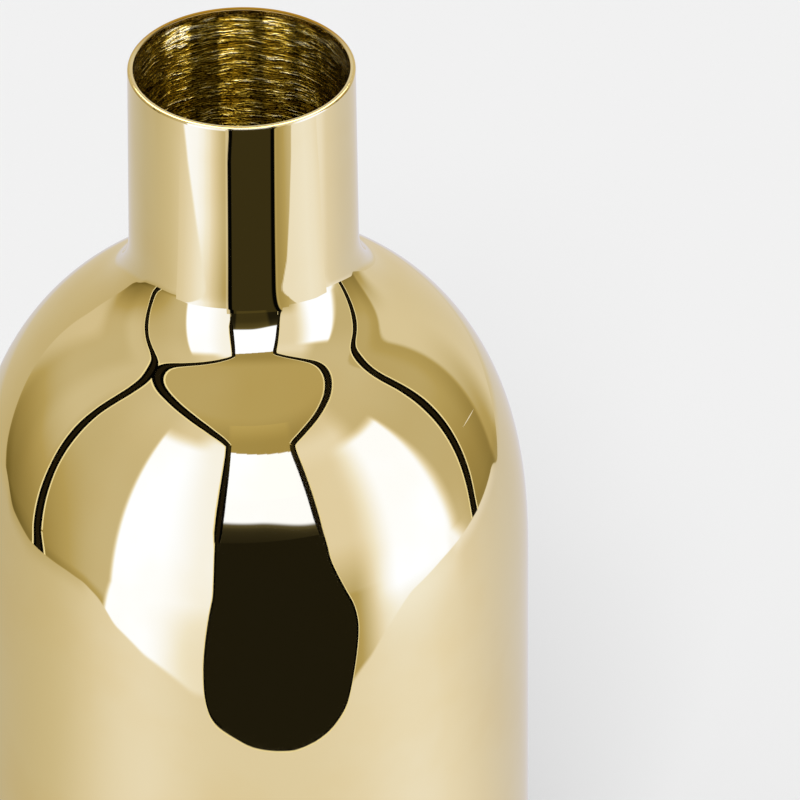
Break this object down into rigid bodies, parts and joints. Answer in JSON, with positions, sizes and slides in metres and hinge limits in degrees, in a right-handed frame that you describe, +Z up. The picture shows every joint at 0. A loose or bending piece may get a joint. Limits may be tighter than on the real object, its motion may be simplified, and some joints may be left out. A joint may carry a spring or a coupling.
{
  "type": "vase",
  "caption": "Polished brass bottle vase with a straight round body, a domed shoulder swept into a short tubular neck, and an open mouth for flower stems.",
  "frame": {"origin": "centre of the face that the vase stands on, the underside of the felt", "axes": "+Z up along the axis of the vase, from the foot to the mouth"},
  "size_m": [0.11, 0.11, 0.25],
  "materials": {
    "polished_brass": "mirror polished outside, brushed in the bore",
    "plain_brass": "as rolled, dull",
    "brazing_metal": "dressed flush and polished outside, as cast inside",
    "felt": "dense wool felt"
  },
  "bodies": {
    "root": {"neck_tube": "polished_brass", "shoulder_dome": "polished_brass", "body_wall": "polished_brass", "base_plate": "plain_brass", "neck_braze": "brazing_metal", "shoulder_braze": "brazing_metal", "base_braze": "brazing_metal", "felt_pad": "felt"}
  },
  "joints": []
}
